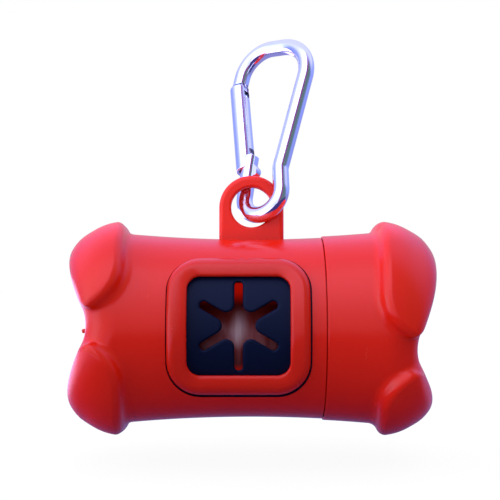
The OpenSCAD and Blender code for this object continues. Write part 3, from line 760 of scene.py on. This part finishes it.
def makeHook():
    # the bent bar, the nose that takes the latch pin in its notch, and the two tongues inside the gate's foot
    h, g, x0 = hook, gate, hook["axis"]
    centres, headings = barPath()
    flat = np.concatenate([centres, np.zeros((len(centres), 1))], 1)
    left = np.stack([-headings[:, 1], headings[:, 0], 0 * headings[:, 0]], -1)
    points, faces = tube(flat, left, np.tile([0, 0, 1.0], (len(flat), 1)), h["bar"], 64)
    bar = addMesh("hook_bar", onHook(points), faces, "hook", "plated_hook")
    mouth = boxOutline(x0 - wide, x0 + wide, h["mouthFrom"], g["length"] + h["mouthOver"])
    cutAway(bar, gateSweeps() + [addMesh("mouth", *slabSkin(mouth, wide))])
    half, latch = h["tongue"] / 2, g["length"] - g["latchDrop"]
    outline = boxOutline(x0 - h["noseHalf"], x0 + h["noseHalf"],
                         g["length"] - g["nose"], g["length"] + h["noseRoot"])
    nose = addMesh("hook_nose", *slabSkin(outline, half, h["ease"]), "hook", "plated_hook")
    notch = boxOutline(x0 - 0.001, x0 + h["notchTo"], latch - h["notch"], latch + h["notch"])
    cutAway(nose, [addMesh("notch", *slabSkin(notch, h["notchDeep"])),
                   addMesh("notch_end", *pinSkin(x0, latch, h["notch"], h["notchDeep"]))])
    tongues = [slabSkin(capsule((0, 0), end, h["tongueRound"]), half, h["ease"]) for end in h["tongueEnds"]]
    spine = addMesh("hook_spine", *joined(tongues), "hook", "plated_hook")
    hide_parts("carabiner_hook")
    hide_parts("carabiner_hook")
    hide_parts("carabiner_hook")
    return [bar, nose, spine]


def makeGate():
    # a turned tube with eased ends, slotted at its foot for the tongues and on top for the nose
    g, x0 = gate, hook["axis"]
    r, top, c, f = g["radius"], g["length"], g["chamfer"], g["footEase"]
    k = np.linspace(0, math.pi / 2, 7)
    bore = [[g["bore"], g["boreTop"]], [g["bore"], g["boreEase"] - g["foot"]],
            [g["bore"] + g["boreEase"], -g["foot"]]]
    easeFoot = np.stack([r - f + f * np.sin(k), f - g["foot"] - f * np.cos(k)], -1)
    side = np.stack([np.full(40, r), np.linspace(g["sideFrom"] - g["foot"], top - g["sideTo"], 40)], -1)
    easeTop = [r - c, top - c] + c * circle(k)
    points, faces = revolved(np.concatenate([bore, easeFoot, side, easeTop]))
    rod = addMesh("gate_rod", gateFrame(points), faces, "gate", "plated_gate")
    low = boxOutline(x0, x0 + wide, -g["foot"] - g["footPast"], g["slotTop"])
    high = boxOutline(x0 - wide, x0 + wide, top - g["nose"] - g["room"], top + g["topPast"])
    cutAway(rod, [addMesh("slot_low", *slabSkin(low, g["slot"] / 2)),
                  addMesh("slot_top", *slabSkin(high, g["slot"] / 2))])
    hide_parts("carabiner_gate")
    return rod


spring = dict(wire=0.22, radius=1.28, turns=9, stepsPerTurn=36, low=4.52, high=14.76, top=15.0, keep=0.962)


def makeSpring():
    # round wire carried along a helix in the gate's bore
    s, x0 = spring, hook["axis"]
    t = np.linspace(0, 1, s["turns"] * s["stepsPerTurn"] + 1)
    a = 2 * math.pi * s["turns"] * t
    radial = np.stack([np.cos(a), 0 * a, np.sin(a)], -1)
    middle = np.stack([0 * a + x0, s["low"] + (s["high"] - s["low"]) * t, 0 * a], -1)
    centres = middle + s["radius"] * radial
    heading = np.gradient(centres, axis=0)
    heading /= np.linalg.norm(heading, axis=1, keepdims=True)
    points, faces = tube(centres, radial, np.cross(heading, radial), s["wire"], 12)
    coil = addMesh("gate_coil", gateFrame(points), faces, "gate", "spring_steel")
    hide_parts("gate_spring")
    ends = (gateFrame([[x0, s["low"], 0], [x0, s["top"], 0]]) - origin) * metres
    axis = (ends[1] - ends[0]) / np.linalg.norm(ends[1] - ends[0])
    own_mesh(coil)
    return coil


# the brighter red over the top of the bone and the tab, between its two heights, is painted light through the
# tab
shellLook = dict(deep=(200, 23, 4), lit=(209, 27, 7), worn=(214, 60, 52), thin=(228, 30, 8),
                 thinFrom=19.5, thinTo=24.0, bezelTone=0.93)


def redPlastic(name, tone=1.0):
    # satin moulded plastic: a fine spark-eroded grain, faint flow clouds and a little handling wear
    p = shellLook
    look = Look(name)
    clouds = look.noise(38.0, detail=2.0)
    grain = look.noise(2600.0, detail=2.0, roughness=0.6)
    rubs = look.noise(260.0, detail=5.0, roughness=0.65, place=look.stretched((1.0, 0.35, 0.6)))
    rubs = rubs.between(0.60, 0.80)
    # a tone below one darkens the red: painted shade, as on the bezel
    deep, lit = (linear(r * tone, g, b) for r, g, b in (p["deep"], p["lit"]))
    colour = look.tint(rubs * 0.06, look.tint(clouds, deep, lit), linear(*p["worn"]))
    # painted light: the red turns brighter from the top of the barrel up over the tab, for light that comes
    # through the thin tab
    low, high = (placeOf([0.0, 0.0, z])[2] for z in (p["thinFrom"], p["thinTo"]))
    height = look.node("ShaderNodeSeparateXYZ", {}, look.place)[2]
    colour = look.tint(height.between(low, high), colour, linear(*p["thin"]))
    rough = 0.20 + grain * 0.05 + rubs * 0.07 + clouds * 0.02
    normal = look.bump(grain, distance=0.00006, strength=0.35)
    return look.finish(Base_Color=colour, Roughness=rough, Normal=normal, IOR=1.5, Specular_IOR_Level=0.3)


rubberLook = dict(dark=(2, 13, 44), dusty=(12, 26, 60))


def darkRubber():
    # matt moulded rubber, bluish where it is dusty
    look = Look("dark_rubber")
    grain = look.noise(3200.0)
    dust = look.noise(420.0, detail=5.0, roughness=0.7).between(0.55, 0.8)
    colour = look.tint(dust * 0.25, linear(*rubberLook["dark"]), linear(*rubberLook["dusty"]))
    normal = look.bump(grain, distance=0.00005, strength=0.4)
    return look.finish(Base_Color=colour, Roughness=0.40 + grain * 0.10 + dust * 0.1, Normal=normal, IOR=1.5,
                       Specular_IOR_Level=0.10)


plateLook = dict(hook=(243, 246, 252), gate=(238, 242, 250), lines=(196, 202, 216))


def plating(name, tint, rough):
    # bright nickel plate with polishing lines and small knocks
    look = Look(name)
    lines = look.noise(900.0, detail=4.0, roughness=0.6, place=look.stretched((1.0, 1.0, 0.12)))
    knocks = look.noise(700.0, detail=2.0).between(0.62, 0.72)
    colour = look.tint(lines * 0.25, linear(*tint), linear(*plateLook["lines"]))
    return look.finish(Base_Color=colour, Metallic=1.0, Roughness=rough + lines * 0.08 + knocks * 0.06,
                       Normal=look.bump(lines + knocks * 0.6, distance=0.00004, strength=0.12))


def turnedSteel(name, tone=150):
    # plain steel with fine turning lines
    look = Look(name)
    lines = look.noise(2400.0)
    colour = look.tint(lines, linear(tone, tone, tone + 4), linear(tone + 30, tone + 31, tone + 36))
    return look.finish(Base_Color=colour, Metallic=1.0, Roughness=0.26 + lines * 0.14,
                       Normal=look.bump(lines, distance=0.00002, strength=0.3))


def aboutRoll(look):
    # places along the roll's axis, and across and above it, in metres
    middle = placeOf([0.0, 0.0, roll["z"]])
    xyz = look.node("ShaderNodeSeparateXYZ", {}, look.place)
    return xyz[0], xyz[1] - middle[1], xyz[2] - middle[2]


# pale and its rise, flatness and edge make a painted highlight; clear and glow, with the upper and lower
# edges, are painted light through the slots
filmLook = dict(wound=(118, 10, 6), woundLit=(176, 44, 34), loose=(96, 6, 5), looseLit=(140, 20, 18),
                pale=(172, 142, 156), clear=(255, 24, 6), glow=(140, 11, 0), layers=14000.0,
                paleRise=0.0007, paleFlat=0.26, paleEdge=(0.0002, 0.0026),
                upperEdge=(0.0050, 0.0090), lowerEdge=(0.0072, 0.0095))


def crinkles(look):
    # soft folds, longer round the roll than along it
    place = look.stretched((1.6, 0.5, 0.5))
    return look.noise(420.0, detail=5.0, roughness=0.62, place=place, distortion=0.6)


def woundFilm():
    # hundreds of film layers seen on edge, and crinkles round the outside
    look = Look("bag_film")
    y, z = aboutRoll(look)[1:]
    radius = (y * y + z * z) ** 0.5
    layers = (radius * filmLook["layers"]).calc("SINE") * 0.5 + 0.5
    crinkle = crinkles(look)
    folds = layers * 0.4 + crinkle * 0.4
    colour = look.tint(folds, linear(*filmLook["wound"]), linear(*filmLook["woundLit"]))
    return look.finish(Base_Color=colour, Roughness=0.34 + crinkle * 0.22,
                       Normal=look.bump(crinkle + layers * 0.25, distance=0.0002, strength=0.6))


def looseFilm():
    # red film with painted light: a pale grey-pink highlight, streaked by pleats, painted behind the middle
    # of the star, and clear red with a red glow painted behind its upper and lower slots, for light that
    # comes through the film there
    f = filmLook
    look = Look("loose_film")
    x, z = aboutRoll(look)[::2]
    across = placeOf([window["middle"], 0.0, 0.0])[0]
    up = placeOf([window["middle"], 0.0, 0.0])[2] - placeOf([0.0, 0.0, roll["z"]])[2]
    x, z = x - across, z - (up + f["paleRise"])
    away = (x * x + z * z * f["paleFlat"]) ** 0.5
    crinkle = crinkles(look)
    pleats = look.noise(900.0, roughness=0.6, place=look.stretched((1.0, 0.08, 0.08)))
    # painted highlight: a pale grey-pink patch behind the middle of the star, streaked by pleats
    paintedHighlight = (1.0 - away.between(*f["paleEdge"])) * (pleats * 1.6 - 0.1)
    upper, lower = z.between(*f["upperEdge"]), (z * -1.0).between(*f["lowerEdge"])
    colour = look.tint(crinkle * 0.5, linear(*f["loose"]), linear(*f["looseLit"]))
    colour = look.tint(paintedHighlight, colour, linear(*f["pale"]))
    # painted light: bright red over bands behind the upper and lower slots, for light that comes through the
    # film
    for band in (upper, lower):
        colour = look.tint(band, colour, linear(*f["clear"]))
    # painted light: the film glows red behind the upper slot, and less behind the lower one
    glow = look.tint(upper + lower * 0.4, (0, 0, 0, 1), linear(*f["glow"]))
    return look.finish(Base_Color=colour, Roughness=0.36 + crinkle * 0.2,
                       Emission_Color=glow, Emission_Strength=1.0,
                       Normal=look.bump(crinkle + pleats * 0.5, distance=0.0002, strength=0.6))


boardLook = dict(grey=(168, 140, 108), pale=(201, 176, 140), seam=(116, 92, 66), strips=55.0)


def rollBoard():
    # grey board wound in a spiral strip, with a dark seam once a turn along the helix
    look = Look("core_board")
    x, y, z = aboutRoll(look)
    angle = y.calc("ARCTAN2", z) / (2 * math.pi)
    strip = (x * boardLook["strips"] + angle).calc("FRACT")
    seam = 1.0 - strip.between(0.0, 0.05)
    fibre = look.noise(1800.0, detail=4.0, roughness=0.6, place=look.stretched((1.0, 0.4, 0.4)))
    colour = look.tint(fibre, linear(*boardLook["grey"]), linear(*boardLook["pale"]))
    colour = look.tint(seam * 0.5, colour, linear(*boardLook["seam"]))
    return look.finish(Base_Color=colour, Roughness=0.82 + fibre * 0.1,
                       Normal=look.bump(fibre - seam, distance=0.00012, strength=0.5))


# colours are linear; an edge says where one colour goes over into the next along an axis of the world
camera = dict(eye=(-0.33, -250.0, 18.27), lens=76.14, sensor=36.0, near=0.01, far=10.0)
softLight = dict(level=0.34, fromAbove=1.46, fromLeft=4.97, sharpness=4.0, colour=(1.0, 0.985, 1.0, 1))
reflected = dict(room=(0.92, 0.95, 1.3, 1), sky=(2.0, 2.2, 3.6, 1), skyEdge=(0.05, 1.0),
                 right=(0.30, 0.045, 0.27, 1), rightEdge=(0.10, 0.16),
                 wall=(0.13, 0.20, 0.22, 1), wallEdge=(0.38, 0.48),
                 side=(2.0, 2.2, 3.2, 1), sideWay=(-0.96, 0.1, 0.05), sideEdge=(0.4, 0.95),
                 table=(0.36, 0.44, 1.22, 1), tableLow=(0.20, 0.20, 0.55, 1),
                 tableRise=(-0.3, 0.3), tableEdge=(-0.45, 0.1),
                 far=(0.52, 0.54, 0.82, 1), farEdge=(0.72, 0.92),
                 skyBack=(0.8, 0.82, 1.75, 1), backRise=(0.3, 0.7))
ground = dict(drop=6.0, half=0.9, shown=0.93, pale=(0.86, 0.86, 0.87, 1), dim=(0.33, 0.32, 0.32, 1),
              gloss=(0.05, 0.04, 0.2, 1), back=(0.29, 0.28, 0.70, 1), backEdge=(-0.03, 0.02),
              left=(1.9, 1.6, 2.9, 1), leftEdge=(0.06, 0.12))
white = (1, 1, 1, 1)


def makeCamera():
    # level with the middle of the picture, looking straight at the front
    scene = bpy.context.scene
    lens = bpy.data.cameras.new("camera")
    lens.lens, lens.sensor_width = camera["lens"], camera["sensor"]
    lens.clip_start, lens.clip_end = camera["near"], camera["far"]
    scene.camera = bpy.data.objects.new("camera", lens)
    scene.collection.objects.link(scene.camera)
    scene.camera.location = ((np.array(camera["eye"]) - origin) * metres).tolist()
    scene.camera.rotation_euler = (math.radians(90), 0, 0)
    scene.view_settings.view_transform = "Standard"


def makeWorld():
    # soft light from above and from the left; gloss sees the window, a lavender table behind and a dim room
    g = reflected
    look = Look("studio", "worlds")
    bpy.context.scene.world = look.material
    way = look.node("ShaderNodeSeparateXYZ", {}, look.place)
    above, left = way[2].calc("MAXIMUM", 0.0), (way[0] * -1.0).calc("MAXIMUM", 0.0) ** softLight["sharpness"]
    level = above * softLight["fromAbove"] + left * softLight["fromLeft"] + softLight["level"]
    dot = look.node("ShaderNodeVectorMath", dict(operation="DOT_PRODUCT"), look.place, g["sideWay"])
    side = dot.at("Value")
    colour = look.tint(way[2].between(*g["skyEdge"]), g["room"], g["sky"])
    colour = look.tint(way[0].between(*g["rightEdge"]), colour, g["right"])
    colour = look.tint(way[0].between(*g["wallEdge"]), colour, g["wall"])
    colour = look.tint(side.between(*g["sideEdge"]), colour, g["side"])
    behind = look.tint(way[2].between(*g["tableRise"]), g["tableLow"], g["table"])
    behind = look.tint(way[1].between(*g["farEdge"]), behind, g["far"])
    behind = look.tint(way[2].between(*g["backRise"]), behind, g["skyBack"])
    colour = look.tint(way[1].between(*g["tableEdge"]), colour, behind)
    soft = look.node("ShaderNodeBackground", {}, Color=softLight["colour"], Strength=level)
    gloss = look.node("ShaderNodeBackground", {}, Color=colour, Strength=1.0)
    seen = look.node("ShaderNodeBackground", {}, Color=white, Strength=1.0)
    path = look.node("ShaderNodeLightPath", {})
    mixed = look.mixed(path.at("Is Glossy Ray"), soft[0], gloss[0])
    mixed = look.mixed(path.at("Is Camera Ray"), mixed, seen[0])
    look.node("ShaderNodeOutputWorld", {}, Surface=mixed)
    bpy.context.scene.world.cycles.sampling_method = "NONE"


def makeFloor():
    # pale floor under the hanging dispenser: it gives back little light, and gloss sees colours of its own
    f = ground
    low, half = cadBox[0][2] - f["drop"] * metres, f["half"]
    mesh = bpy.data.meshes.new("floor")
    corners = [(-half, -half, low), (half, -half, low), (half, half, low), (-half, half, low)]
    mesh.from_pydata(corners, [], [(0, 1, 2, 3)])
    floor = bpy.data.objects.new("floor", mesh)
    bpy.context.scene.collection.objects.link(floor)
    look = Look("floor_white")
    pale, dim = (look.node("ShaderNodeBsdfDiffuse", {}, Color=f[shade])[0] for shade in ("pale", "dim"))
    shown = look.mixed(f["shown"], pale, look.glowing(white))
    spot = look.node("ShaderNodeSeparateXYZ", {}, look.place)
    colour = look.tint(spot[1].between(*f["backEdge"]), f["gloss"], f["back"])
    colour = look.tint((spot[0] * -1.0).between(*f["leftEdge"]), colour, f["left"])
    path = look.node("ShaderNodeLightPath", {})
    both = look.mixed(path.at("Is Glossy Ray"), dim, look.glowing(colour))
    both = look.mixed(path.at("Is Camera Ray"), both, shown)
    look.node("ShaderNodeOutputMaterial", {}, Surface=both)
    paint(floor, look.material)


makeCamera()
makeWorld()
makeFloor()
print("studio set")

# the bezel's red is the shell's red made darker: painted shade
shellRed, bezelRed = redPlastic("shell_red"), redPlastic("bezel_red", shellLook["bezelTone"])
paint(makeBody(), shellRed)
print("body made")
paint(makeCap(), shellRed)
print("cap made")
paint(makeBezel(), bezelRed)
paint(makeRubber(), darkRubber())
paint(makeBagEnd(), looseFilm())
print("window and bag made")
plate = plating("hook_plate", plateLook["hook"], 0.09)
for piece in makeHook():
    paint(piece, plate)
paint(makeGate(), plating("gate_plate", plateLook["gate"], 0.1))
paint(makeSpring(), turnedSteel("spring_steel", 120))
print("hook made")

finishes = dict(bag_roll=woundFilm(), roll_core=rollBoard(), gate_pin=turnedSteel("gate_pin_steel"),
                latch_pin=turnedSteel("latch_pin_steel"), spring_plunger=turnedSteel("plunger_steel", 140))
for node, material in finishes.items():
    dress(node, material)
print("nodes dressed")
